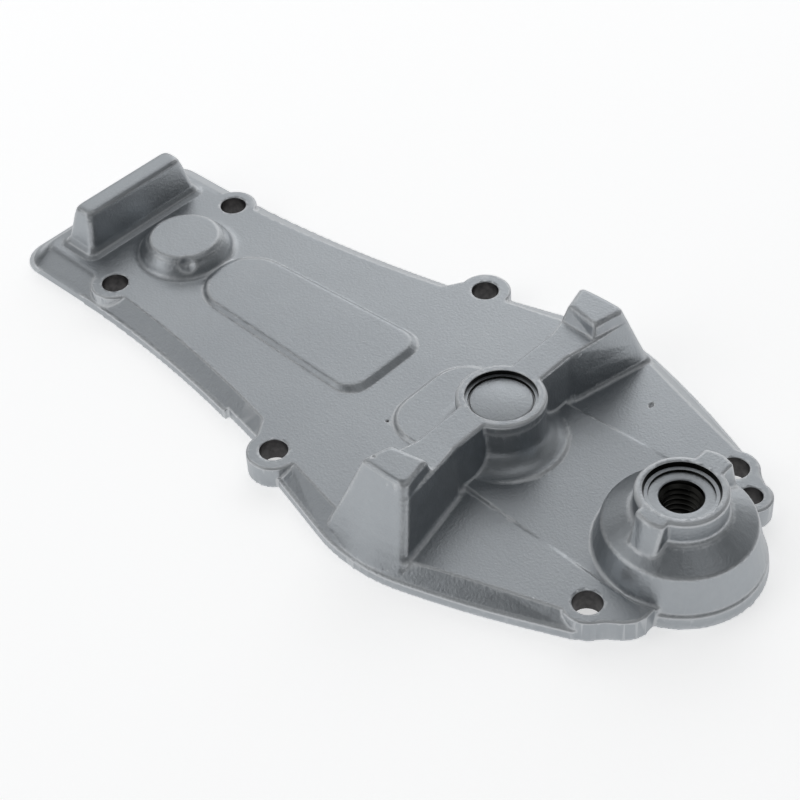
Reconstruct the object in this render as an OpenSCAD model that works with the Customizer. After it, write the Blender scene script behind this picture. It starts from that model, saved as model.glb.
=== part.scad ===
// Cover half of a cast gearbox housing: a tray-shaped plate with screw ears,
// a cross rib with two wedge feet, a bearing boss and a threaded round boss.
// The joint face lies on z = 0 and the outside looks up. Sizes are in mm.

/* [Plate] */
// Overall length, from the tongue's end to the nose of the round boss
length = 175.6; // [172:0.1:180]
// Width of the tongue at its far end
tongue_w = 44.7; // [42:0.1:48]
// Width where the tongue meets the middle ears
waist_w = 60.6; // [58:0.1:63]
// Width where the head starts behind the middle ears
head_start_w = 66.8; // [65:0.1:69]
// Width at which the two sides of the head would meet, before rounding
head_peak_w = 81.8; // [80:0.1:84]
// Width of the head where it turns in towards the nose
head_turn_w = 68.2; // [66:0.1:70]
// Rounding of the tongue's end corners
end_r = 6.3; // [5.2:0.1:7.5]
// Radius of the hollow sweep along the tongue's sides
flare_r = 300; // [200:5:320]
// Rounding of the head's widest point
head_r = 36; // [25:1:45]
// Thickness of the flange's outer edge
flange_h = 2.2; // [1.8:0.1:2.8]
// Thickness from the joint face to the top plane
plate_t = 4.8; // [4.4:0.1:6]
// Width of the sloping band along the tongue
band_w = 4.3; // [3:0.1:5]
// Width of the sloping band along the head
head_band_w = 3.6; // [2.5:0.1:4.2]

/* [Screw holes] */
// Radius of the screw holes
screw_r = 2.75; // [2.1:0.05:3.3]
// Radius of the screw ears
ear_r = 5.3; // [4.6:0.1:6]
// Radius of the screw ears beside the round boss
nose_ear_r = 4.8; // [4.5:0.1:5.4]
// Distance of the tongue's screw pair from the middle of the length
tongue_pair_x = 61; // [58:0.1:64]
// Spacing of the tongue's screw pair
tongue_pair_w = 34; // [32:0.1:36]
// Distance of the middle screw pair from the middle of the length
middle_pair_x = 0.35; // [0:0.05:3]
// Spacing of the middle screw pair
middle_pair_w = 60.7; // [59:0.1:63]
// Distance of the nose screw pair from the middle of the length
nose_pair_x = 68.15; // [66:0.05:70]
// Spacing of the nose screw pair
nose_pair_w = 43; // [42:0.1:45]
// Radius of the dowel hole beside the round boss
dowel_r = 2.15; // [1.5:0.05:2.4]

/* [Tongue] */
// Height of the cross bar above the top plane
bar_h = 9.2; // [6:0.1:14]
// Length of the cross bar at its foot
bar_l = 30.2; // [26:0.1:32]
// Thickness of the cross bar at its foot
bar_t = 8.4; // [7:0.1:10]
// Radius of the round stop boss at its top
stop_r = 7.3; // [6:0.1:8.5]
// Height of the round stop boss above the top plane
stop_h = 3.9; // [2:0.1:6]
// Height of the long pad above the top plane
pad_h = 0.8; // [0.4:0.1:1.5]
// Width of the long pad at its round end
pad_w = 16.2; // [14:0.1:18]
// Width of the long pad at its square end
pad_end_w = 20; // [18:0.1:22]

/* [Bearing boss and cross rib] */
// Outer radius of the bearing boss's collar
collar_r = 8.6; // [8:0.1:9.5]
// Height of the collar above the joint face
collar_z = 15.6; // [13:0.1:18]
// Radius of the recess in the collar
recess_r = 6.85; // [6:0.05:7.2]
// Depth of the recess in the collar
recess_d = 1.1; // [0.6:0.1:2]
// Radius of the blind bearing seat under the boss
seat_r = 6; // [4:0.05:6.5]
// Height of the wedge feet above the joint face
foot_z = 18.6; // [16:0.1:22]
// Thickness of the cross rib at its top
rib_t = 6.8; // [5:0.1:8]

/* [Round boss] */
// Radius of the round boss at the joint face
drum_r = 16.4; // [16:0.1:17]
// Height of the shoulder's outer edge above the joint face
shoulder_z = 10.7; // [9.5:0.1:12]
// Radius of the neck above the shoulder
neck_r = 8.45; // [8:0.05:9.5]
// Height of the neck's top rim above the joint face
neck_z = 18; // [16:0.1:20]
// Radius of the counterbore in the neck
counterbore_r = 7; // [6.4:0.05:7.4]
// Depth of the counterbore in the neck
counterbore_d = 1.5; // [0.8:0.1:2.5]
// Radius of the M8 thread's core hole
thread_r = 3.4; // [3.3:0.05:3.5]
// Radius of the gear shaft's bearing seat
bearing_r = 11; // [9:0.05:11.5]
// Depth of the gear shaft's bearing seat from the joint face
bearing_d = 7; // [5:0.1:8]

/* [Inside] */
// Depth of the shallow cavity behind the joint face
cavity_d = 2.3; // [1:0.1:2.6]
// Width of the joint face along the outline
joint_w = 6.5; // [5:0.1:8]

/* [Hidden] */
$fn = 96;
// Segments of a small rounded corner in a drafted shape
corner_steps = 3;
overlap = 0.6;
cut = 1;

drum_x = length / 2 - drum_r;
boss_x = 30.2;
rib_x = 29.55;
stop_x = -57.45;
bar_x = -75.1;
bar_y = 0.6;
dowel_x = 74.6;
dowel_y = 17.7;

// Points of an arc round c, from angle a0 to a1
function arc(c, r, a0, a1, n) =
    [for (i = [0:n]) let (a = a0 + (a1 - a0) * i / n) c + r * [cos(a), sin(a)]];

// A closed path whose corners [x, y, radius, segments] are rounded, moved inwards by d
function side(p, q, s) = (q[0] - p[0]) * (s[1] - q[1]) - (q[1] - p[1]) * (s[0] - q[0]);
function turn(a0, a1) = let (d = a1 - a0) d > 180 ? d - 360 : d < -180 ? d + 360 : d;
function rounded(corners, d = 0) = [
    for (i = [0:len(corners) - 1])
        let (
            k = len(corners),
            c = [corners[i][0], corners[i][1]],
            p = [corners[(i + k - 1) % k][0], corners[(i + k - 1) % k][1]],
            s = [corners[(i + 1) % k][0], corners[(i + 1) % k][1]],
            u = (p - c) / norm(p - c),
            v = (s - c) / norm(s - c),
            half = acos(u * v) / 2,
            convex = side(p, c, s) < 0,
            centre = c + (u + v) / norm(u + v) * corners[i][2] / sin(half),
            reach = corners[i][2] / tan(half),
            e0 = c + u * reach - centre,
            e1 = c + v * reach - centre,
            r = corners[i][2] + (convex ? -d : d),
            a0 = atan2(e0[1], e0[0]),
            a1 = a0 + turn(a0, atan2(e1[1], e1[0]))
        )
        each arc(centre, r, a0, a1, is_undef(corners[i][3]) ? corner_steps : corners[i][3])
];
function both_sides(half) = concat(half, [for (i = [len(half) - 1:-1:0]) [half[i][0], -half[i][1], half[i][2], half[i][3]]]);
function raised(points, z) = [for (p = points) [p[0], p[1], z]];

// A solid through rings of points, all with the same number of points, upwards and clockwise.
// Caps that aren't convex are closed by strips from one side of the symmetry plane to the other.
module loft(rings, strips = false) {
    n = len(rings[0]);
    m = len(rings);
    cap = strips ? [for (i = [0:n / 2 - 2]) [i, i + 1, n - 2 - i, n - 1 - i]] : [[for (i = [0:n - 1]) i]];
    polyhedron(
        points = [for (ring = rings) each ring],
        faces = concat(
            [for (f = cap) [for (i = [len(f) - 1:-1:0]) f[i]]],
            [for (j = [0:m - 2]) for (i = [0:n - 1])
                [j * n + i, j * n + (i + 1) % n, (j + 1) * n + (i + 1) % n, (j + 1) * n + i]],
            [for (f = cap) [for (i = f) (m - 1) * n + i]]
        ),
        convexity = 6
    );
}

outline_rest = [
    [-42.4, tongue_w / 2, flare_r, 12],
    [-middle_pair_x - 3, waist_w / 2, 0.6, 1],
    [-middle_pair_x + 3, head_start_w / 2, 0.6, 1],
    [28.8, head_peak_w / 2, head_r, 12],
    [51.5, head_turn_w / 2, 200, 6],
    [69.5, 26.5, 2, 1],
    [74.8, 18, 1, 1]
];
outline_half = concat([[-length / 2, tongue_w / 2, end_r, 6]], outline_rest);
// The tongue's end leans back by this much over the flange's thickness
end_lean = 2.3;
outline_top = concat([[-length / 2 + end_lean, tongue_w / 2, end_r, 6]], outline_rest);
ridge_half = [
    [-length / 2 + band_w + 1.3, tongue_w / 2 - band_w, end_r - 4, 6],
    [-42.4, tongue_w / 2 - band_w, flare_r + band_w, 12],
    [-middle_pair_x - 3, waist_w / 2 - head_band_w, 0.6, 1],
    [-middle_pair_x + 3, head_start_w / 2 - head_band_w, 0.6, 1],
    [32.2, head_peak_w / 2 - head_band_w - 0.7, head_r - 7, 12],
    [50.8, head_turn_w / 2 - head_band_w - 0.3, 200, 6],
    [68.5, 24.7, 2, 1],
    [74, 17, 1, 1]
];

module plate() {
    loft([
        raised(rounded(both_sides(outline_half)), 0),
        raised(rounded(both_sides(outline_half)), 0.3),
        raised(rounded(both_sides(outline_top)), flange_h)
    ], true);
    loft([
        raised(rounded(both_sides(outline_top), 0.5), flange_h - overlap),
        raised(rounded(both_sides(outline_top), 0.5), flange_h),
        raised(rounded(both_sides(ridge_half)), plate_t)
    ], true);
}

// The near lip of the flange is set back beside the middle ear
module lip_relief() {
    difference() {
        translate([-17.3, -waist_w / 2 - 4, -cut]) cube([14, 12, plate_t + cut]);
        translate([0, 0, -2 * cut]) linear_extrude(plate_t + 4 * cut) polygon(rounded(both_sides(outline_half), 1));
    }
}

// An ear on the near or far side with its neck, which widens towards the top plane
module ear(x, y, r, neck_l, neck_r, depth) {
    translate([x, y, 0]) cylinder(r = r, h = plate_t);
    translate([x, y, 0]) mirror([0, y < 0 ? 1 : 0, 0]) linear_extrude(plate_t)
        polygon([[-neck_l, -depth], [-r, -0.6], [0, 2], [r, -0.6], [neck_r, -depth]]);
}

module ears() {
    for (s = [-1, 1]) {
        ear(-tongue_pair_x, s * tongue_pair_w / 2, ear_r - 0.2, 6.2, 6.2, 3);
        ear(-middle_pair_x, s * middle_pair_w / 2, ear_r, 8, 6.6, 5);
        ear(nose_pair_x, s * nose_pair_w / 2, nose_ear_r, 6, 6, 5);
        mirror([0, s < 0 ? 1 : 0, 0]) linear_extrude(plate_t)
            polygon([
                [60, 10], [64.5, 24.3], [nose_pair_x - 1.7, 26.1], [nose_pair_x + 0.5, 26.1], [70.6, 25.2], [72.2, 24.1],
                [73.2, 23], [74.3, 22.2], [75.9, 21.1], [77.3, 19.4], [77.9, 17.6], [77.8, 15.2], [79, 10], [76, 5]
            ]);
    }
    translate([dowel_x, dowel_y, 0]) cylinder(r = 4.1, h = plate_t);
}

// A block with a rounded rectangle as plan, drafted, with a cove at its foot and a soft top edge
module block(bottom, top, z0, z1, cove, edge) {
    function at(z, d) = raised(rounded([for (i = [0:len(bottom) - 1])
        bottom[i] + (top[i] - bottom[i]) * (z - z0) / (z1 - z0)], d), z);
    loft([
        at(z0 - overlap, -cove),
        at(z0, -cove),
        at(z0 + cove * 0.3, -cove * 0.3),
        at(z0 + cove, 0),
        at(z1 - edge, 0),
        at(z1 - edge * 0.3, edge * 0.3),
        at(z1, edge)
    ]);
}

module bar() {
    lean = 2.1;
    function plan(inset, r) = [for (c = [[-1, 1], [1, 1], [1, -1], [-1, -1]])
        [bar_x + c[0] * (bar_t / 2 - inset * 0.85), bar_y + c[1] * (bar_l / 2 - inset), r, 4]];
    block(plan(0, 1.2), plan(lean, 1.4), plate_t, plate_t + bar_h, 1.6, 0.7);
}

module stop_boss() {
    top = plate_t + stop_h;
    translate([stop_x, 0, 0]) rotate_extrude() polygon(concat(
        [[0, plate_t - overlap], [stop_r + 3.4, plate_t - overlap], [stop_r + 3.4, plate_t + 0.1]],
        [[stop_r + 2.9, plate_t + 0.2], [stop_r + 2.4, plate_t + 0.6], [stop_r + 2.3, top - 2.6]],
        arc([stop_r + 1.5, top - 2.6], 0.7, 12, 42, 3),
        [[stop_r + 0.9, top - 1.1], [stop_r + 0.75, top - 0.7]],
        arc([stop_r - 0.4, top - 0.9], 0.9, 40, 90, 4),
        [[0, top]]
    ));
}

module pad() {
    ends = [[-46.9, pad_w / 2, 8.05, 10], [0, pad_end_w / 2, 4, 6], [0, -pad_end_w / 2, 4, 6], [-46.9, -pad_w / 2, 8.05, 10]];
    foot = [for (p = ends) p + [p[0] > -1 ? 0.8 : 0, 0, 0, 0]];
    loft([
        raised(rounded(foot, -0.9), plate_t - overlap),
        raised(rounded(foot, -0.9), plate_t),
        raised(rounded(ends), plate_t + pad_h)
    ]);
}

// Height of the field round the bearing boss, which slopes down towards the round boss
field_slope = 0.036;
field_w = 29.4;
field_end_w = 32.3;
function field_z(x) = plate_t + (53.5 - x) * field_slope;

// Rings across the field, from one end to the other: distance along the plate, half width and top
function field_ring(x, half, z0, z1) = [[x, -half, z0], [x, -half, z1], [x, half, z1], [x, half, z0]];
module field_raised() {
    loft([
        field_ring(rib_x - 1, field_w / 2, 3, field_z(34)),
        field_ring(34, field_w / 2, 3, field_z(34)),
        field_ring(drum_x - 4, field_end_w / 2, 3, field_z(drum_x - 4)),
        field_ring(drum_x, field_end_w / 2, 3, field_z(drum_x))
    ]);
    low = [[rib_x - 19.6, 12, 7.5, 8], [rib_x + 1, 12, 0.3, 1], [rib_x + 1, -12, 0.3, 1], [rib_x - 19.6, -12, 7.5, 8]];
    loft([
        raised(rounded(low, -0.5), plate_t - overlap),
        raised(rounded(low, -0.5), plate_t),
        raised(rounded(low), plate_t + 0.65)
    ]);
}

module field_slot() {
    loft([
        field_ring(rib_x + 1, field_w / 2 - 0.05, 3.5, plate_t + cut),
        field_ring(34, field_w / 2 - 0.05, 3.5, plate_t + cut),
        field_ring(drum_x - 4, field_end_w / 2 - 0.05, 3.5, plate_t + cut),
        field_ring(drum_x + 0.5, field_end_w / 2 - 0.05, 3.5, plate_t + cut)
    ]);
    translate([drum_x, 0, field_z(drum_x)]) cylinder(r = field_end_w / 2 + 0.03, h = 3);
}

module collar_boss() {
    foot_r = collar_r + 4;
    base = plate_t + 0.7;
    translate([boss_x, 0, 0]) rotate_extrude() polygon(concat(
        [[0, plate_t - overlap], [foot_r + 0.3, plate_t - overlap]],
        arc([foot_r, base + 4.2], 4.2, 270, 180, 8),
        [[collar_r - 0.4, collar_z - 2.4], [collar_r, collar_z - 2]],
        arc([collar_r - 0.6, collar_z - 0.6], 0.6, 0, 90, 5),
        [[0, collar_z]]
    ));
}

// The wedge feet stand at the rib's ends. Their front and back faces lean and spread outwards,
// and their outer face flares down to the flange's edge.
foot_from = 16.5;
// How far out the feet's outer faces are at their tops
foot_y = head_peak_w / 2 - 10;
function foot_lean(y) = 0.115 + 0.0104 * (min(y, 23) - foot_from);
function foot_front(y, z) = rib_x + 4.7 + 0.208 * (y - foot_from) - foot_lean(y) * max(z - plate_t, 0);
function foot_back(y, z) = rib_x - 4.92 - 0.27 * (y - foot_from) + 0.24 * max(z - plate_t, 0);
function foot_out(z) = let (d = foot_z - z) foot_y + 0.31 * d + pow(d / 16.3, 6);
function foot_bulge(z) = 0.2 + 2.3 * pow((foot_z - z) / 16.3, 1.5);
// A ring at height z whose inner side runs from front to back; cove widens its front and edge
// narrows it all round
function foot_ring(z, front, back, cove = 0, edge = 0) =
    let (
        out = foot_out(z) - edge,
        top = foot_bulge(z),
        x0 = foot_back(out, z) + edge,
        x1 = foot_front(out, z) + cove - edge,
        half = (x1 - x0) / 2
    )
    raised(rounded([
        [x0, out, 0.8, 3],
        [(x0 + x1) / 2, out + top, 0.5 * half * half / top, 6],
        [x1, out, 1.4, 4],
        [foot_front(front, z) + cove - edge, front + edge, 0.4, 2],
        [foot_back(back, z) + edge, back + edge, 0.4, 2]
    ]), z);
module foot() {
    loft([
        for (z = [1.7, 2.4, 3.2, 4]) foot_ring(z, foot_from, foot_from, 0.5),
        foot_ring(plate_t, foot_from, foot_from, 0.6),
        foot_ring(plate_t + 0.2, foot_from, foot_from, 0.25),
        foot_ring(plate_t + 0.7, foot_from, foot_from),
        for (z = [7, 10]) foot_ring(z, foot_from, foot_from),
        foot_ring(collar_z, foot_from, foot_from),
        foot_ring(collar_z + 0.05, foot_y - 8, foot_y - 7.7),
        foot_ring(foot_z - 0.6, foot_y - 7.4, foot_y - 6.1),
        foot_ring(foot_z - 0.2, foot_y - 7.3, foot_y - 6, 0, 0.2),
        foot_ring(foot_z, foot_y - 7.2, foot_y - 5.8, 0, 0.6)
    ]);
}

module rib() {
    block(
        [[rib_x - rib_t / 2 - 0.6, 21.3, 0.6], [rib_x + rib_t / 2 + 0.8, 21.3, 0.6],
            [rib_x + rib_t / 2 + 0.8, -21.3, 0.6], [rib_x - rib_t / 2 - 0.6, -21.3, 0.6]],
        [[rib_x - rib_t / 2, 20.8, 0.6], [rib_x + rib_t / 2, 20.8, 0.6],
            [rib_x + rib_t / 2, -20.8, 0.6], [rib_x - rib_t / 2, -20.8, 0.6]],
        plate_t, collar_z, 0.6, 0.5
    );
}

module drum() {
    translate([drum_x, 0, 0]) rotate_extrude() polygon(concat(
        [[0, 0], [drum_r, 0], [drum_r - 0.3, 2.6], [drum_r - 0.7, 3]],
        arc([13.1, shoulder_z - 1], 1, 12, 62, 4),
        [[neck_r + 1, 13]],
        arc([neck_r + 1, 14], 1, 270, 180, 4),
        arc([neck_r - 0.6, neck_z - 0.6], 0.6, 0, 90, 5),
        [[0, neck_z]]
    ));
}

module wings() {
    for (w = [[0, 10.9], [180, 9.4]])
        translate([drum_x, 0, 0]) rotate(w[0]) block(
            [[-3, w[1] + 2.4, 0.8], [0, w[1] + 2.8, 4], [3, w[1] + 2.4, 0.8], [3, 0, 0.8], [-3, 0, 0.8]],
            [[-3.1, w[1] - 0.1, 0.8], [0, w[1] + 0.9, 4], [3.1, w[1] - 0.1, 0.8], [3.1, 0, 0.8], [-3.1, 0, 0.8]],
            10.1, neck_z, 0.3, 0.4
        );
}

// A hole through the plate, with a small chamfer at the joint face
module hole(x, y, r) {
    translate([x, y, -cut]) cylinder(r = r, h = plate_t + 2 * cut);
    translate([x, y, -cut]) cylinder(r1 = r + 0.5 + cut, r2 = r, h = 0.5 + cut);
}

module holes() {
    for (s = [-1, 1]) {
        hole(-tongue_pair_x, s * tongue_pair_w / 2, screw_r);
        hole(-middle_pair_x, s * middle_pair_w / 2, screw_r);
        hole(nose_pair_x, s * nose_pair_w / 2, screw_r);
    }
    hole(dowel_x, dowel_y, dowel_r);
}

module tops() {
    translate([boss_x, 0, collar_z - recess_d]) cylinder(r = recess_r, h = recess_d + cut);
    translate([boss_x, 0, collar_z - recess_d]) rotate_extrude()
        polygon([[5.75, 0.1], [5.75, 0], [5.95, -0.45], [6.15, -0.45], [6.3, 0], [6.3, 0.1]]);
    translate([drum_x, 0, neck_z]) rotate_extrude() polygon([
        [0, -counterbore_d], [5.2, -counterbore_d], [5.5, -counterbore_d - 0.3], [5.9, -counterbore_d - 0.3],
        [6.05, -counterbore_d + 0.5], [6.5, -counterbore_d + 0.6], [counterbore_r, 0], [counterbore_r, cut], [0, cut]
    ]);
    translate([drum_x, 0, bearing_d - 1]) cylinder(r = thread_r, h = neck_z);
    translate([drum_x, 0, neck_z - counterbore_d - 0.8]) cylinder(r1 = thread_r, r2 = thread_r + 0.9, h = 0.9);
}

cavity_half = [
    [-length / 2 + joint_w, tongue_w / 2 - joint_w, 3, 4],
    [-42.4, tongue_w / 2 - joint_w, 250, 6],
    [-middle_pair_x, head_start_w / 2 - joint_w - 3.5, 30, 4],
    [29.5, head_peak_w / 2 - joint_w - 1.4, 26, 8],
    [50.5, head_turn_w / 2 - joint_w - 0.4, 18, 4],
    [drum_x - 10.5, 17.5, 8, 5],
    [drum_x - 10, 9, 1, 1]
];
module cavity() {
    difference() {
        translate([0, 0, -cut]) linear_extrude(cavity_d + cut) polygon(rounded(both_sides(cavity_half)));
        for (s = [-1, 1]) {
            translate([-tongue_pair_x, s * tongue_pair_w / 2, -cut - 1]) cylinder(r = ear_r + 0.6, h = plate_t + cut);
            translate([-middle_pair_x, s * middle_pair_w / 2, -cut - 1]) cylinder(r = ear_r + 0.6, h = plate_t + cut);
            translate([nose_pair_x, s * nose_pair_w / 2, -cut - 1]) cylinder(r = nose_ear_r + 0.6, h = plate_t + cut);
        }
        translate([drum_x, 0, -cut - 1]) cylinder(r = bearing_r + 3.2, h = plate_t + cut);
        translate([boss_x, 0, -cut - 1]) cylinder(r = seat_r + 3.5, h = plate_t + cut);
    }
    translate([boss_x, 0, -cut]) cylinder(r = seat_r, h = collar_z - recess_d - 3.4 + cut);
    translate([drum_x, 0, -cut]) cylinder(r = bearing_r, h = bearing_d + cut);
}

// Cored hollows under the cross bar and the wedge feet
module cores() {
    loft([
        raised(rounded([[bar_x - 1.6, bar_l / 2 - 3, 1], [bar_x + 1.6, bar_l / 2 - 3, 1],
            [bar_x + 1.6, -bar_l / 2 + 3, 1], [bar_x - 1.6, -bar_l / 2 + 3, 1]]), cavity_d - 0.5),
        raised(rounded([[bar_x - 0.9, bar_l / 2 - 4.2, 0.6], [bar_x + 0.9, bar_l / 2 - 4.2, 0.6],
            [bar_x + 0.9, -bar_l / 2 + 4.2, 0.6], [bar_x - 0.9, -bar_l / 2 + 4.2, 0.6]]), plate_t + bar_h - 2.8)
    ]);
    for (s = [0, 1]) mirror([0, s, 0]) loft([
        raised(rounded([[rib_x - 4.35, foot_y + 1.5, 1.5], [rib_x + 4.25, foot_y + 1.5, 1.5],
            [rib_x + 2.65, foot_y - 8.4, 1.5], [rib_x - 2.95, foot_y - 8.4, 1.5]]), cavity_d - 0.5),
        raised(rounded([[rib_x - 1.95, foot_y - 2.2, 1], [rib_x + 2.05, foot_y - 2.2, 1],
            [rib_x + 1.45, foot_y - 4.6, 1], [rib_x - 1.35, foot_y - 4.6, 1]]), foot_z - 3.2)
    ]);
}

module housing() {
    color("lightslategray") difference() {
        union() {
            difference() {
                union() {
                    difference() {
                        plate();
                        lip_relief();
                    }
                    ears();
                }
                field_slot();
            }
            field_raised();
            bar();
            stop_boss();
            pad();
            collar_boss();
            rib();
            foot();
            mirror([0, 1, 0]) foot();
            drum();
            wings();
        }
        holes();
        tops();
        cavity();
        cores();
    }
}

housing();
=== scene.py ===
"""A cast gearbox cover on a white table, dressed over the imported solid.

The casting is made from its solid: the recesses are plugged, the skin is remeshed and softened,
the small marks are pressed in, and the recesses are cut crisp again. The turns of the thread are
a piece of their own. Sizes are in millimetres unless a docstring says otherwise.
"""

import logging
import math
from collections.abc import Iterable, Iterator
from dataclasses import dataclass
from enum import Enum

import bmesh
import bpy
from mathutils import Matrix, Vector


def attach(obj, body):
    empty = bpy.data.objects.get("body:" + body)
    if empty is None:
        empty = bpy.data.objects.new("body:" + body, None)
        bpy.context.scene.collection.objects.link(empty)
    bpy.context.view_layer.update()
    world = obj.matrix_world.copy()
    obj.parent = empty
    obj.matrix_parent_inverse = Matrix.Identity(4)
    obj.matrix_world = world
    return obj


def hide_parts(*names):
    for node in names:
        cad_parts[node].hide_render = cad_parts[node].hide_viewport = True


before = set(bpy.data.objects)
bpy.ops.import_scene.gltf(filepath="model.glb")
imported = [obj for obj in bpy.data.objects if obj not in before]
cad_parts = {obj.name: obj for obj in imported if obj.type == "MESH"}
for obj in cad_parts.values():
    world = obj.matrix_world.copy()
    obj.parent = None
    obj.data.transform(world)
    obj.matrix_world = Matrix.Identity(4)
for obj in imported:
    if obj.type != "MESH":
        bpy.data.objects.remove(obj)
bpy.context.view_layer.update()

MM = 0.001
WEAR_AND_HIGHLIGHT = "worn_and_highlit"
UPRIGHT = (0.0, 0.0, 1.0)
FULL_TURN = 2.0 * math.pi
LOG = logging.getLogger("gearbox_cover")

Colour = tuple[float, float, float]
Span = tuple[float, float]


class Skin(Enum):
    """The casting's material slots."""

    CAST = 0
    SHADED = 1
    DARK = 2


def mm(x: float, y: float, z: float) -> Vector:
    """Returns a point given in millimetres as metres."""
    return Vector((x, y, z)) * MM


def piece_from(name: str, shape: bmesh.types.BMesh) -> bpy.types.Object:
    """Turns a bmesh into an object at the origin with smooth faces.

    Args:
        name: The piece's name.
        shape: The mesh in metres, which is freed.

    Returns:
        The linked object.
    """
    bmesh.ops.recalc_face_normals(shape, faces=shape.faces)
    mesh = bpy.data.meshes.new(name)
    shape.to_mesh(mesh)
    shape.free()
    mesh.shade_smooth()
    piece = bpy.data.objects.new(name, mesh)
    bpy.context.scene.collection.objects.link(piece)
    return piece


def baked(piece: bpy.types.Object) -> bpy.types.Object:
    """Applies a piece's modifiers to its mesh.

    Args:
        piece: The object whose modifiers are applied.

    Returns:
        The same object, with its new mesh and no modifiers.
    """
    graph = bpy.context.evaluated_depsgraph_get()
    mesh = bpy.data.meshes.new_from_object(piece.evaluated_get(graph), depsgraph=graph)
    old = piece.data
    piece.modifiers.clear()
    piece.data = mesh
    mesh.name = piece.name
    if old.users == 0:
        bpy.data.meshes.remove(old)
    return piece


def plain_material(name: str) -> tuple[bpy.types.Material, bpy.types.Node]:
    """Makes a material with an untouched Principled shader.

    Args:
        name: The material's name.

    Returns:
        The material and its shader node.
    """
    material = bpy.data.materials.new(name)
    material.use_nodes = True
    return material, material.node_tree.nodes["Principled BSDF"]


def noise(
    tree: bpy.types.NodeTree, place: bpy.types.Node, scale: float, detail: float
) -> bpy.types.NodeSocket:
    """Adds a noise on Object coordinates.

    Args:
        tree: The material's nodes.
        place: The Texture Coordinate node.
        scale: The pattern's number of cells in a metre.
        detail: The number of finer layers.

    Returns:
        The noise's value.
    """
    node = tree.nodes.new("ShaderNodeTexNoise")
    node.inputs["Scale"].default_value = scale
    node.inputs["Detail"].default_value = detail
    tree.links.new(place.outputs["Object"], node.inputs["Vector"])
    return node.outputs["Fac"]


def tones(
    tree: bpy.types.NodeTree, amount: bpy.types.NodeSocket, low: Colour, high: Colour
) -> bpy.types.NodeSocket:
    """Adds a mix of two colours.

    Args:
        tree: The material's nodes.
        amount: The value that leads from the low tone to the high one.
        low: The first colour.
        high: The second colour.

    Returns:
        The mixed colour.
    """
    mix = tree.nodes.new("ShaderNodeMix")
    mix.data_type = "RGBA"
    mix.inputs["A"].default_value = (*low, 1.0)
    mix.inputs["B"].default_value = (*high, 1.0)
    tree.links.new(amount, mix.inputs["Factor"])
    return mix.outputs["Result"]


def ranged(
    tree: bpy.types.NodeTree, value: bpy.types.NodeSocket, low: float, high: float
) -> bpy.types.NodeSocket:
    """Adds a map of a value from 0 to 1 onto another range.

    Args:
        tree: The material's nodes.
        value: The value from 0 to 1.
        low: What 0 becomes.
        high: What 1 becomes.

    Returns:
        The mapped value.
    """
    span = tree.nodes.new("ShaderNodeMapRange")
    span.inputs["To Min"].default_value = low
    span.inputs["To Max"].default_value = high
    tree.links.new(value, span.inputs["Value"])
    return span.outputs["Result"]


@dataclass(frozen=True)
class CastFinish:
    """Satin grey skin of the die casting, with fine grain and faint clouds; sharp edges and coves
    are painted lighter and less metallic as painted highlights, partly as wear.
    """

    name: str = "satin_grey_casting"
    low: Colour = (0.315, 0.335, 0.36)
    high: Colour = (0.455, 0.48, 0.5)
    # Sharp edges and coves take this lighter, less metallic colour as painted highlights, partly as
    # wear.
    worn_and_highlit: Colour = (0.62, 0.64, 0.66)
    worn_and_highlit_metal: float = 0.45
    roughness: float = 0.37
    roughness_spread: float = 0.08
    cloud_scale: float = 45.0
    speck_scale: float = 600.0
    grain_scale: float = 1900.0
    grain_height: float = 0.06
    grain_strength: float = 0.8

    def material(self) -> bpy.types.Material:
        """Returns the finish as a procedural material on Object coordinates."""
        material, skin = plain_material(self.name)
        tree = material.node_tree
        place = tree.nodes.new("ShaderNodeTexCoord")
        clouds = noise(tree, place, self.cloud_scale, 4.0)
        specks = noise(tree, place, self.speck_scale, 2.0)
        grain = noise(tree, place, self.grain_scale, 3.0)

        both = tree.nodes.new("ShaderNodeMath")
        both.operation = "ADD"
        tree.links.new(clouds, both.inputs[0])
        tree.links.new(specks, both.inputs[1])
        half = tree.nodes.new("ShaderNodeMath")
        half.operation = "MULTIPLY"
        half.inputs[1].default_value = 0.5
        tree.links.new(both.outputs[0], half.inputs[0])
        grey = tones(tree, half.outputs[0], self.low, self.high)

        # This attribute paints highlights, partly wear, onto the sharp edges and coves.
        wear_and_highlight = tree.nodes.new("ShaderNodeAttribute")
        wear_and_highlight.attribute_name = WEAR_AND_HIGHLIGHT
        rubbed_and_highlit = tree.nodes.new("ShaderNodeMix")
        rubbed_and_highlit.data_type = "RGBA"
        rubbed_and_highlit.inputs["B"].default_value = (*self.worn_and_highlit, 1.0)
        tree.links.new(wear_and_highlight.outputs["Fac"], rubbed_and_highlit.inputs["Factor"])
        tree.links.new(grey, rubbed_and_highlit.inputs["A"])
        tree.links.new(rubbed_and_highlit.outputs["Result"], skin.inputs["Base Color"])
        metal = ranged(tree, wear_and_highlight.outputs["Fac"], 1.0, self.worn_and_highlit_metal)
        tree.links.new(metal, skin.inputs["Metallic"])

        low, high = self.roughness - self.roughness_spread, self.roughness + self.roughness_spread
        tree.links.new(ranged(tree, specks, low, high), skin.inputs["Roughness"])
        bump = tree.nodes.new("ShaderNodeBump")
        bump.inputs["Strength"].default_value = self.grain_strength
        bump.inputs["Distance"].default_value = self.grain_height * MM
        tree.links.new(grain, bump.inputs["Height"])
        tree.links.new(bump.outputs["Normal"], skin.inputs["Normal"])
        return material


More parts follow.
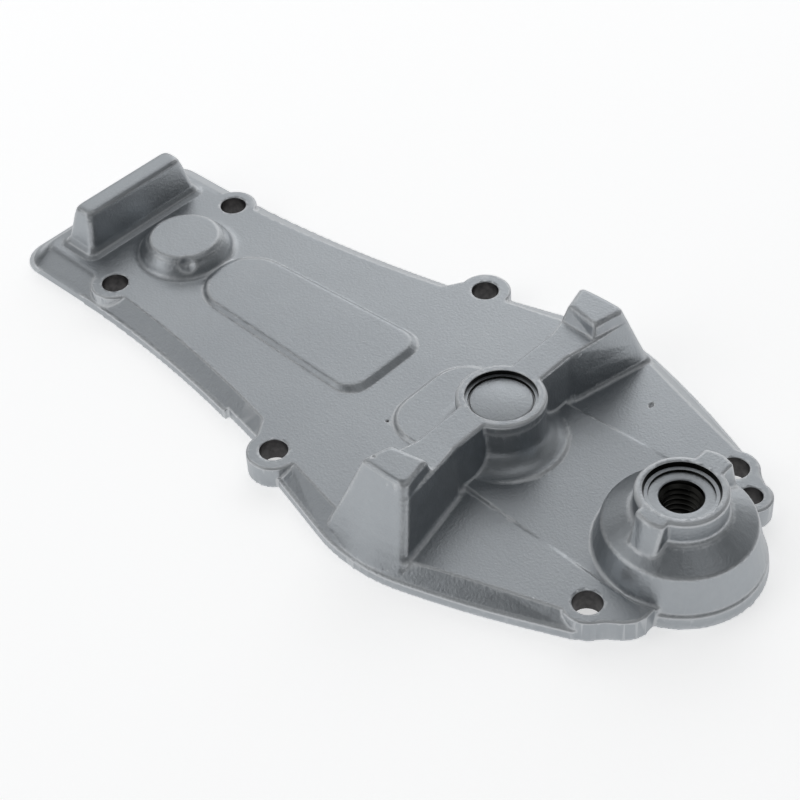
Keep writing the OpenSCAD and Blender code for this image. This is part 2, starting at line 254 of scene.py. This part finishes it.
@dataclass(frozen=True)
class DarkFinish:
    """Dark metal whose colour wanders between two tones."""

    name: str
    low: Colour
    high: Colour
    roughness: float
    scale: float
    detail: float

    def material(self) -> bpy.types.Material:
        """Returns the finish as a procedural material on Object coordinates."""
        material, skin = plain_material(self.name)
        tree = material.node_tree
        skin.inputs["Metallic"].default_value = 1.0
        skin.inputs["Roughness"].default_value = self.roughness
        place = tree.nodes.new("ShaderNodeTexCoord")
        film = noise(tree, place, self.scale, self.detail)
        tree.links.new(tones(tree, film, self.low, self.high), skin.inputs["Base Color"])
        return material


@dataclass(frozen=True)
class ThreadAndRecessShadeFinish(DarkFinish):
    """Near-black metal painted on the tapped thread and the deep turned walls as painted shade."""

    name: str = "thread_and_recess_shade"
    low: Colour = (0.012, 0.012, 0.011)
    high: Colour = (0.036, 0.036, 0.033)
    roughness: float = 0.28
    scale: float = 500.0
    detail: float = 2.0


@dataclass(frozen=True)
class ShadedFinish(DarkFinish):
    """Dark metal painted on the walls of the drilled holes and the floors of the small pits as
    painted shade.
    """

    name: str = "shaded_wall"
    low: Colour = (0.03, 0.03, 0.032)
    high: Colour = (0.15, 0.145, 0.145)
    roughness: float = 0.45
    scale: float = 900.0
    detail: float = 3.0


@dataclass(frozen=True)
class Recess:
    """A drilled or turned recess.

    A plug closes it before the skin is softened, and a turned cutter then cuts it crisp.

    Attributes:
        x: The place of its axis along the cover.
        y: The place of its axis across the cover.
        outline: The cutter's radius and height at each corner.
        plug_r: The plug's radius.
        plug_from: The plug's lower end.
        plug_to: The plug's upper end.
        wall: The painted shade on its steep walls.
        steps: The number of facets round it.
        steep: How squarely a wall faces outwards to count as steep, from 0 to 1.
        weld: The gap below which the cutter's points become one.
    """

    x: float
    y: float
    outline: tuple[Span, ...]
    plug_r: float
    plug_from: float
    plug_to: float
    wall: Skin = Skin.SHADED
    steps: int = 96
    steep: float = 0.8
    weld: float = 0.001

    def plug(self, shape: bmesh.types.BMesh) -> None:
        """Adds the cylinder that fills the recess.

        Args:
            shape: The solid that gets the plug.
        """
        bmesh.ops.create_cone(
            shape,
            cap_ends=True,
            segments=self.steps,
            radius1=self.plug_r * MM,
            radius2=self.plug_r * MM,
            depth=(self.plug_to - self.plug_from) * MM,
            matrix=Matrix.Translation(mm(self.x, self.y, (self.plug_from + self.plug_to) / 2.0)),
        )

    def cutter(self, shape: bmesh.types.BMesh) -> None:
        """Adds the turned body that cuts the recess, whose steep walls get painted shade.

        Args:
            shape: The mesh that holds all the cutters.
        """
        axis = mm(self.x, self.y, 0.0)
        turned = bmesh.new()
        rim = [turned.verts.new(mm(self.x + radius, self.y, z)) for radius, z in self.outline]
        edges = [turned.edges.new(pair) for pair in zip(rim, rim[1:])]
        bmesh.ops.spin(
            turned,
            geom=[*rim, *edges],
            cent=axis,
            axis=UPRIGHT,
            angle=FULL_TURN,
            steps=self.steps,
            use_merge=True,
            use_duplicate=False,
        )
        bmesh.ops.remove_doubles(turned, verts=turned.verts, dist=self.weld * MM)
        bmesh.ops.recalc_face_normals(turned, faces=turned.faces)
        # Steep walls facing the axis get painted shade.
        for face in turned.faces:
            out = (face.calc_center_median() - axis) * Vector((1.0, 1.0, 0.0))
            steep = out.length > 0.0 and face.normal.dot(out.normalized()) > self.steep
            face.material_index = (self.wall if steep else Skin.CAST).value
        mesh = bpy.data.meshes.new("turned")
        turned.to_mesh(mesh)
        turned.free()
        shape.from_mesh(mesh)
        bpy.data.meshes.remove(mesh)


def drilled(
    x: float,
    y: float,
    radius: float,
    top: float = 4.8,
    edge: float = 0.12,
    overcut: float = 1.0,
    lap: float = 0.3,
) -> Recess:
    """Returns a plain through hole.

    Args:
        x: Its place along the cover.
        y: Its place across the cover.
        radius: Its radius.
        top: The height of the face that it opens in.
        edge: The width of its broken upper edge.
        overcut: How far its cutter reaches past the faces that it opens in.
        lap: How far its plug reaches into the metal round it.

    Returns:
        The recess.
    """
    outline = (
        (0.0, -overcut),
        (radius, -overcut),
        (radius, top - edge),
        (radius + edge + overcut, top + overcut),
        (0.0, top + overcut),
    )
    return Recess(x, y, outline, radius + lap, 0.0, top)


SCREW_HOLES = tuple(
    drilled(x, side * y, 2.75)
    for x, y in ((-61.0, 17.0), (-0.35, 30.35), (68.15, 21.5))
    for side in (-1, 1)
)
DOWEL_HOLE = drilled(74.6, 17.7, 2.15)
COLLAR_RECESS = Recess(
    x=30.2,
    y=0.0,
    outline=(
        (0.0, 14.5),
        (5.75, 14.5),
        (5.95, 14.05),
        (6.15, 14.05),
        (6.3, 14.55),
        (6.85, 14.6),
        (6.85, 15.52),
        (7.93, 16.6),
        (0.0, 16.6),
    ),
    plug_r=7.2,
    plug_from=13.5,
    plug_to=15.6,
    wall=Skin.DARK,
)
NECK_BORE = Recess(
    x=71.4,
    y=0.0,
    outline=(
        (0.0, 6.0),
        (4.05, 6.0),
        (4.05, 16.25),
        (4.25, 16.45),
        (5.85, 16.45),
        (5.95, 16.95),
        (6.6, 17.05),
        (6.93, 17.93),
        (8.0, 19.0),
        (0.0, 19.0),
    ),
    plug_r=7.35,
    plug_from=7.0,
    plug_to=18.0,
    wall=Skin.DARK,
)


@dataclass(frozen=True)
class Mark:
    """A small pit or dent in the skin.

    Attributes:
        x: Its centre along the cover.
        y: Its centre across the cover.
        z: Its centre's height.
        radius: Its radius.
        depth: Its depth in the middle.
        stretch: How many times longer than wide it is.
        turn: Where its length points, in radians from +X towards +Y.
        inward: The direction in which it is pressed.
        shaded: Whether its floor gets painted shade.
    """

    x: float
    y: float
    z: float
    radius: float
    depth: float
    stretch: float = 1.0
    turn: float = 0.0
    inward: tuple[float, float, float] = (0.0, 0.0, -1.0)
    shaded: bool = False

    def reached(self, points: Iterable[Vector]) -> Iterator[tuple[int, float]]:
        """Finds the points that lie in the mark.

        Args:
            points: The points in metres.

        Yields:
            The number of each point in the mark, and its distance from the centre as a share of
            the mark's radius there.
        """
        centre = mm(self.x, self.y, self.z)
        along = Vector((math.cos(self.turn), math.sin(self.turn), 0.0))
        furthest = (self.radius * self.stretch * MM) ** 2
        for number, point in enumerate(points):
            gap = point - centre
            if gap.length_squared > furthest:
                continue
            gap -= along * gap.dot(along) * (1.0 - 1.0 / self.stretch)
            share = gap.length / (self.radius * MM)
            if share < 1.0:
                yield number, share


@dataclass(frozen=True)
class SoftStretch:
    """A stretch of the skin that is rounder than the rest.

    Attributes:
        name: The name of its vertex group and modifier.
        along: Its range of x.
        across: Its range of y, on both sides.
        up: Its range of z.
        passes: How many times it is smoothed.
    """

    name: str
    along: Span
    across: Span
    up: Span
    passes: int

    def holds(self, point: Vector) -> bool:
        """Tests whether a point lies in the stretch.

        Args:
            point: The point in millimetres.

        Returns:
            Whether all three coordinates are in range.
        """
        places = (point.x, abs(point.y), point.z)
        spans = (self.along, self.across, self.up)
        return all(low < place < high for (low, high), place in zip(spans, places))


@dataclass
class Casting:
    """The cover itself: its solid with the soft edges and coves of a die casting.

    Attributes:
        node: The solid that it replaces.
        weld: The gap below which the solid's points become one.
        voxel: The cell size of the remeshed skin.
        smoothing: How many times the whole skin is smoothed.
        budget: The number of triangles that the skin is thinned to before the recesses are cut.
        pit_floor: The share of a shaded mark's radius that gets painted shade.
        flat_weight: How much the large faces lead the shading normals, in percent.
        wear_highlight_shortest: The shortest edge that the painted highlight and wear are measured
            along.
        wear_highlight_reach: The longest edge that the painted highlight and wear are measured
            along.
        wear_highlight_from: The turn of the skin in a millimetre, in radians, where the painted
            highlight and wear begin.
        wear_highlight_full: The turn where the painted highlight and wear are complete.
        wear_highlight_own: The share of a point's own painted highlight and wear, against the mean
            of its neighbours.
        flat_span: The length from which an edge belongs to a flat stretch, which has no painted
            highlight or wear.
        flat_turn: The most painted highlight and wear at the far end of such an edge.
        machined_to: The height up to which the joint face is machined and has no painted highlight
            or wear.
        soft_stretches: The stretches that are rounder than the rest.
        recesses: The holes and turned recesses.
        marks: The pits and dents that the photograph shows.
    """

    node: str = "housing"
    weld: float = 0.002
    voxel: float = 0.22
    smoothing: int = 4
    budget: int = 185000
    pit_floor: float = 0.75
    flat_weight: int = 60
    wear_highlight_shortest: float = 0.02
    wear_highlight_reach: float = 0.9
    wear_highlight_from: float = 0.35
    wear_highlight_full: float = 1.1
    wear_highlight_own: float = 0.6
    flat_span: float = 1.2
    flat_turn: float = 0.2
    machined_to: float = 0.3
    soft_stretches: tuple[SoftStretch, ...] = (
        SoftStretch("knees", (31.8, 35.2), (14.6, 19.4), (5.9, 15.2), 60),
        SoftStretch("bar_top", (-80.0, -70.0), (0.0, 17.0), (12.0, 14.5), 50),
        SoftStretch("stop_foot", (-69.0, -46.0), (0.0, 12.0), (4.6, 7.0), 55),
        SoftStretch("tongue_end", (-90.0, -80.6), (0.0, 26.0), (2.0, 5.1), 90),
        SoftStretch("tongue_sides", (-80.6, -66.0), (17.2, 26.0), (2.0, 5.1), 90),
        SoftStretch("pad", (-50.0, 3.0), (0.0, 12.0), (4.95, 6.0), 10),
    )
    recesses: tuple[Recess, ...] = (*SCREW_HOLES, DOWEL_HOLE, COLLAR_RECESS, NECK_BORE)
    marks: tuple[Mark, ...] = (
        # The first three pits get painted shade on their floors.
        Mark(46.2, 25.0, 4.8, 0.5, 0.6, stretch=2.0, turn=1.9, shaded=True),
        Mark(10.7, -10.8, 4.8, 0.45, 0.45, shaded=True),
        Mark(-15.4, -28.4, 2.2, 0.45, 0.45, shaded=True),
        Mark(32.5, -31.2, 17.5, 0.6, 0.35),
        Mark(30.9, -31.3, 17.0, 0.5, 0.3),
        Mark(25.4, -29.1, 18.6, 0.5, 0.3),
        Mark(-50.9, -5.4, 7.6, 2.1, 0.9, inward=(-0.6, 0.5, -0.6)),
    )

    def build(self, skins: dict[Skin, bpy.types.Material]) -> bpy.types.Object:
        """Makes the softened casting in place of its solid.

        Args:
            skins: The material of each slot.

        Returns:
            The piece, which replaces the solid.
        """
        piece = self._softened()
        self._soften_more(piece)
        self._press_marks(piece)
        self._thin(piece)
        for skin in Skin:
            piece.data.materials.append(skins[skin])
        self._cut_recesses(piece)
        self._shade_pits(piece)
        piece.data.shade_smooth()
        self._part_finishes(piece)
        # Sharp edges and coves get painted highlights, partly wear.
        self._wear_and_highlight(piece)
        even = piece.modifiers.new("even", "WEIGHTED_NORMAL")
        even.weight = self.flat_weight
        even.keep_sharp = True
        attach(piece, "root")
        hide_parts(self.node)
        LOG.info("casting: %d faces", len(piece.data.polygons))
        return piece

    def _softened(self) -> bpy.types.Object:
        """Returns a plugged copy of the solid, remeshed and smoothed."""
        shape = bmesh.new()
        shape.from_mesh(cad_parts[self.node].data)
        bmesh.ops.remove_doubles(shape, verts=shape.verts, dist=self.weld * MM)
        for recess in self.recesses:
            recess.plug(shape)
        piece = piece_from("cast_cover", shape)
        remesh = piece.modifiers.new("skin", "REMESH")
        remesh.mode = "VOXEL"
        remesh.voxel_size = self.voxel * MM
        soft = piece.modifiers.new("soft", "SMOOTH")
        soft.factor = 0.5
        soft.iterations = self.smoothing
        return baked(piece)

    def _soften_more(self, piece: bpy.types.Object) -> None:
        """Smooths the named stretches of the skin further, each by its own amount.

        Args:
            piece: The casting.
        """
        groups = [
            (stretch, piece.vertex_groups.new(name=stretch.name)) for stretch in self.soft_stretches
        ]
        for vert in piece.data.vertices:
            place = vert.co / MM
            for stretch, group in groups:
                if stretch.holds(place):
                    group.add([vert.index], 1.0, "REPLACE")
        for stretch, group in groups:
            soft = piece.modifiers.new(stretch.name, "SMOOTH")
            soft.factor = 0.5
            soft.iterations = stretch.passes
            soft.vertex_group = group.name
        baked(piece)

    def _press_marks(self, piece: bpy.types.Object) -> None:
        """Presses each mark into the skin.

        Args:
            piece: The casting.
        """
        verts = piece.data.vertices
        for mark in self.marks:
            inward = Vector(mark.inward).normalized()
            for number, share in mark.reached(vert.co for vert in verts):
                verts[number].co += inward * mark.depth * MM * (1.0 - share * share) ** 2

    def _thin(self, piece: bpy.types.Object) -> None:
        """Brings the flat stretches into fewer faces.

        Args:
            piece: The casting, whose faces all have four corners.
        """
        triangles = 2 * len(piece.data.polygons)
        if triangles > self.budget:
            thin = piece.modifiers.new("thin", "DECIMATE")
            thin.ratio = self.budget / triangles
            thin.use_collapse_triangulate = True
            baked(piece)

    def _cut_recesses(self, piece: bpy.types.Object) -> None:
        """Cuts the holes and turned recesses crisp into the softened skin.

        Args:
            piece: The casting with its materials.
        """
        shape = bmesh.new()
        for recess in self.recesses:
            recess.cutter(shape)
        tool = piece_from("recess_cutters", shape)
        for material in piece.data.materials:
            tool.data.materials.append(material)
        cut = piece.modifiers.new("cut", "BOOLEAN")
        cut.operation = "DIFFERENCE"
        cut.solver = "EXACT"
        cut.object = tool
        baked(piece)
        cutters = tool.data
        bpy.data.objects.remove(tool)
        bpy.data.meshes.remove(cutters)

    def _shade_pits(self, piece: bpy.types.Object) -> None:
        """Paints shade on the floors of the shaded marks.

        Args:
            piece: The casting.
        """
        faces = piece.data.polygons
        for mark in self.marks:
            if not mark.shaded:
                continue
            for number, share in mark.reached(face.center for face in faces):
                if share < self.pit_floor:
                    faces[number].material_index = Skin.SHADED.value

    def _part_finishes(self, piece: bpy.types.Object) -> None:
        """Makes the edges sharp along which two finishes meet.

        Args:
            piece: The casting.
        """
        shape = bmesh.new()
        shape.from_mesh(piece.data)
        for edge in shape.edges:
            edge.smooth = len({face.material_index for face in edge.link_faces}) == 1
        shape.to_mesh(piece.data)
        shape.free()

    def _wear_and_highlight(self, piece: bpy.types.Object) -> None:
        """Writes the painted highlight, partly wear, at each point as the attribute that the finish
        reads.

        Args:
            piece: The casting.
        """
        shape = bmesh.new()
        shape.from_mesh(piece.data)
        # The painted highlight, partly wear, is stored per point from how sharply the skin bends.
        layer = shape.verts.layers.float.new(WEAR_AND_HIGHLIGHT)
        shape.verts.index_update()
        wear_and_highlight = [self._wear_and_highlight_at(vert) for vert in shape.verts]
        for vert in shape.verts:
            ends = [
                (wear_and_highlight[edge.other_vert(vert).index], edge.calc_length()) for edge in vert.link_edges
            ]
            by_flat = any(
                other < self.flat_turn and length > self.flat_span * MM for other, length in ends
            )
            if by_flat or vert.co.z < self.machined_to * MM:
                vert[layer] = 0.0
            else:
                mean = sum(other for other, _ in ends) / max(1, len(ends))
                vert[layer] = self.wear_highlight_own * wear_and_highlight[vert.index] + (1.0 - self.wear_highlight_own) * mean
        shape.to_mesh(piece.data)
        shape.free()

    def _wear_and_highlight_at(self, vert: bmesh.types.BMVert) -> float:
        """Measures how sharply the skin turns at a point, which sets its painted highlight and
        wear.

        Args:
            vert: The point.

        Returns:
            Its painted highlight and wear from 0 to 1.
        """
        sharpest = 0.0
        for edge in vert.link_edges:
            length = edge.calc_length()
            if self.wear_highlight_shortest * MM < length < self.wear_highlight_reach * MM:
                other = edge.other_vert(vert)
                bend = abs((other.normal - vert.normal).dot(other.co - vert.co))
                sharpest = max(sharpest, bend / length**2 * MM)
        return min(1.0, max(0.0, (sharpest - self.wear_highlight_from) / (self.wear_highlight_full - self.wear_highlight_from)))


@dataclass
class TappedThread:
    """The M8 thread's turns in the round boss.

    Attributes:
        axis_x: The place of its axis along the cover.
        crest_r: The radius of its crests.
        root_r: The radius of its roots, which lie in the wall.
        crest_half: Half the width of a crest's flat.
        gap: The gap between two turns at their roots, halved.
        pitch: The rise of one turn.
        bottom: Its lower end.
        top: Its upper end.
        steps: The number of facets in one turn.
    """

    axis_x: float = 71.4
    crest_r: float = 3.42
    root_r: float = 4.15
    crest_half: float = 0.09
    gap: float = 0.06
    pitch: float = 1.25
    bottom: float = 7.6
    top: float = 15.8
    steps: int = 40

    def build(self, finish: bpy.types.Material) -> bpy.types.Object:
        """Makes the helical turns.

        Args:
            finish: The thread's material.

        Returns:
            The piece.
        """
        turns = int((self.top - self.bottom) / self.pitch)
        half = self.pitch / 2 - self.gap
        profile = (
            (self.root_r, -half),
            (self.crest_r, -self.crest_half),
            (self.crest_r, self.crest_half),
            (self.root_r, half),
        )
        shape = bmesh.new()
        middle = self.bottom + half
        verts = [shape.verts.new(mm(self.axis_x + r, 0.0, middle + z)) for r, z in profile]
        face = shape.faces.new(verts)
        bmesh.ops.spin(
            shape,
            geom=[face, *face.edges, *verts],
            cent=mm(self.axis_x, 0.0, 0.0),
            axis=UPRIGHT,
            dvec=(0.0, 0.0, self.pitch * MM / self.steps),
            angle=FULL_TURN * turns,
            steps=self.steps * turns,
            use_merge=False,
            use_duplicate=False,
        )
        piece = piece_from("boss_thread", shape)
        piece.data.shade_flat()
        piece.data.materials.append(finish)
        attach(piece, "root")
        LOG.info("thread: %d turns", turns)
        return piece


@dataclass(frozen=True)
class Panel:
    """A soft square light that faces the object.

    Attributes:
        name: The light's name.
        azimuth: Where it stands, in degrees from +X towards +Y.
        elevation: Its height in degrees.
        radiance: Its brightness.
        size: Its side in metres.
        distance: Its distance in metres.
    """

    name: str
    azimuth: float
    elevation: float
    radiance: float
    size: float = 1.15
    distance: float = 1.5

    def build(self) -> None:
        """Adds the light to the scene."""
        lamp = bpy.data.lights.new(self.name, "AREA")
        lamp.shape = "SQUARE"
        lamp.size = self.size
        lamp.energy = self.radiance * math.pi * self.size * self.size
        panel = bpy.data.objects.new(self.name, lamp)
        bpy.context.scene.collection.objects.link(panel)
        az, el = math.radians(self.azimuth), math.radians(self.elevation)
        out = Vector((math.cos(az) * math.cos(el), math.sin(az) * math.cos(el), math.sin(el)))
        panel.location = out * self.distance
        panel.rotation_euler = out.to_track_quat("Z", "Y").to_euler()


@dataclass
class Studio:
    """White table, soft panels and the camera at the photograph's angle.

    Attributes:
        table_tone: The table's colour.
        table_glow: The table's own light, which keeps it white.
        table_size: The table's size in metres.
        table_drop: How far the table lies under the joint face.
        room_tone: The colour of the surroundings.
        room_glow: Their brightness.
        look: The point that the camera looks at.
        azimuth: The camera's direction in degrees.
        elevation: The camera's height in degrees.
        roll: The camera's roll in degrees.
        distance: The camera's distance from that point.
        lens: The camera's focal length.
        sensor: The camera's sensor width.
        panels: The lights.
    """

    table_tone: Colour = (0.93, 0.93, 0.93)
    table_glow: float = 0.56
    table_size: float = 3.0
    table_drop: float = 0.05
    room_tone: Colour = (0.95, 0.98, 1.0)
    room_glow: float = 0.15
    look: tuple[float, float, float] = (8.594, -4.922, 4.8)
    azimuth: float = 45.127
    elevation: float = 43.073
    roll: float = -3.399
    distance: float = 380.72
    lens: float = 88.92
    sensor: float = 36.0
    panels: tuple[Panel, ...] = (
        Panel("behind", 135.0, 46.0, 0.56),
        Panel("left", 225.0, 46.0, 0.58),
        Panel("right_above", 15.0, 68.0, 0.4, size=0.85),
        Panel("low_left", 247.0, 20.0, 0.7),
        Panel("low_behind", 157.0, 20.0, 0.45),
        Panel("low_far", 112.0, 20.0, 1.0),
        Panel("low_right", 67.0, 20.0, 0.2),
    )

    def build(self) -> None:
        """Makes the table, the surroundings, the panels and the camera."""
        self._table()
        self._room()
        for panel in self.panels:
            panel.build()
        self._camera()
        view = bpy.context.scene.view_settings
        view.view_transform = "Standard"
        view.look = "None"

    def _table(self) -> None:
        """Adds the white table top."""
        shape = bmesh.new()
        bmesh.ops.create_grid(shape, x_segments=1, y_segments=1, size=self.table_size)
        bmesh.ops.translate(shape, verts=shape.verts, vec=mm(0.0, 0.0, -self.table_drop))
        table = piece_from("table", shape)
        white, skin = plain_material("white_table")
        skin.inputs["Base Color"].default_value = (*self.table_tone, 1.0)
        skin.inputs["Roughness"].default_value = 0.9
        skin.inputs["Specular IOR Level"].default_value = 0.1
        skin.inputs["Emission Color"].default_value = (1.0, 1.0, 1.0, 1.0)
        skin.inputs["Emission Strength"].default_value = self.table_glow
        table.data.materials.append(white)

    def _room(self) -> None:
        """Sets the dim surroundings."""
        room = bpy.data.worlds.new("room")
        room.use_nodes = True
        back = room.node_tree.nodes["Background"]
        back.inputs["Color"].default_value = (*self.room_tone, 1.0)
        back.inputs["Strength"].default_value = self.room_glow
        bpy.context.scene.world = room

    def _camera(self) -> None:
        """Adds the camera."""
        az, el, roll = (math.radians(a) for a in (self.azimuth, self.elevation, self.roll))
        back = Vector((math.sin(az) * math.cos(el), -math.cos(az) * math.cos(el), math.sin(el)))
        right = Vector((math.cos(az), math.sin(az), 0.0))
        up = back.cross(right)
        right, up = (
            right * math.cos(roll) + up * math.sin(roll),
            up * math.cos(roll) - right * math.sin(roll),
        )
        lens = bpy.data.cameras.new("camera")
        lens.lens = self.lens
        lens.sensor_width = self.sensor
        lens.clip_start = 10.0 * MM
        camera = bpy.data.objects.new("camera", lens)
        bpy.context.scene.collection.objects.link(camera)
        turn = Matrix((right, up, back)).transposed().to_4x4()
        camera.matrix_world = Matrix.Translation(mm(*self.look) + back * self.distance * MM) @ turn
        bpy.context.scene.camera = camera


def main() -> None:
    """Builds the pieces in order."""
    logging.basicConfig(level=logging.INFO, format="%(name)s: %(message)s")
    casting = CastFinish().material()
    # Near-black painted shade for the thread and the deep turned walls.
    dark_shade = ThreadAndRecessShadeFinish().material()
    shaded = ShadedFinish().material()
    Casting().build({Skin.CAST: casting, Skin.SHADED: shaded, Skin.DARK: dark_shade})
    TappedThread().build(dark_shade)
    Studio().build()


if __name__ == "__main__":
    main()
